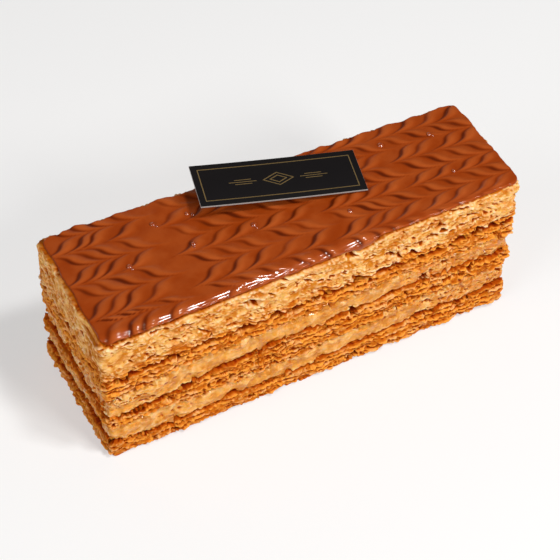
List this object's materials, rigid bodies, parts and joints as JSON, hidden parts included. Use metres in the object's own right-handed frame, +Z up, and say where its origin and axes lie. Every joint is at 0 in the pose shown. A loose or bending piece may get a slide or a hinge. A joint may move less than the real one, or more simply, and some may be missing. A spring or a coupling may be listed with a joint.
{
  "type": "mille feuille slice",
  "caption": "Long slice of layered puff pastry and cream with a feathered caramel glaze and a small dark card lying across its top.",
  "frame": {"origin": "middle of the slice's flat underside, on the surface it stands on", "axes": "+X along the slice's length from the broad end to the narrower end, +Y from the long front cut to the long back cut, +Z up through the layers"},
  "size_m": [0.1274, 0.0436, 0.0521],
  "materials": {
    "crust": "matt golden-brown puff pastry, seen on its cut edges",
    "crumb": "matt pale golden puff pastry, seen on its cut edges",
    "cream": "soft satin caramel cream",
    "glaze": "glossy caramel-brown fondant with darker feathered lines",
    "card": "satin black card with a thin gold ornament"
  },
  "bodies": {
    "root": {"pastry_bottom": "crust", "cream_lower": "cream", "pastry_middle": "crust", "cream_upper": "cream", "pastry_top": "crumb", "glaze": "glaze", "card": "card"}
  },
  "joints": []
}
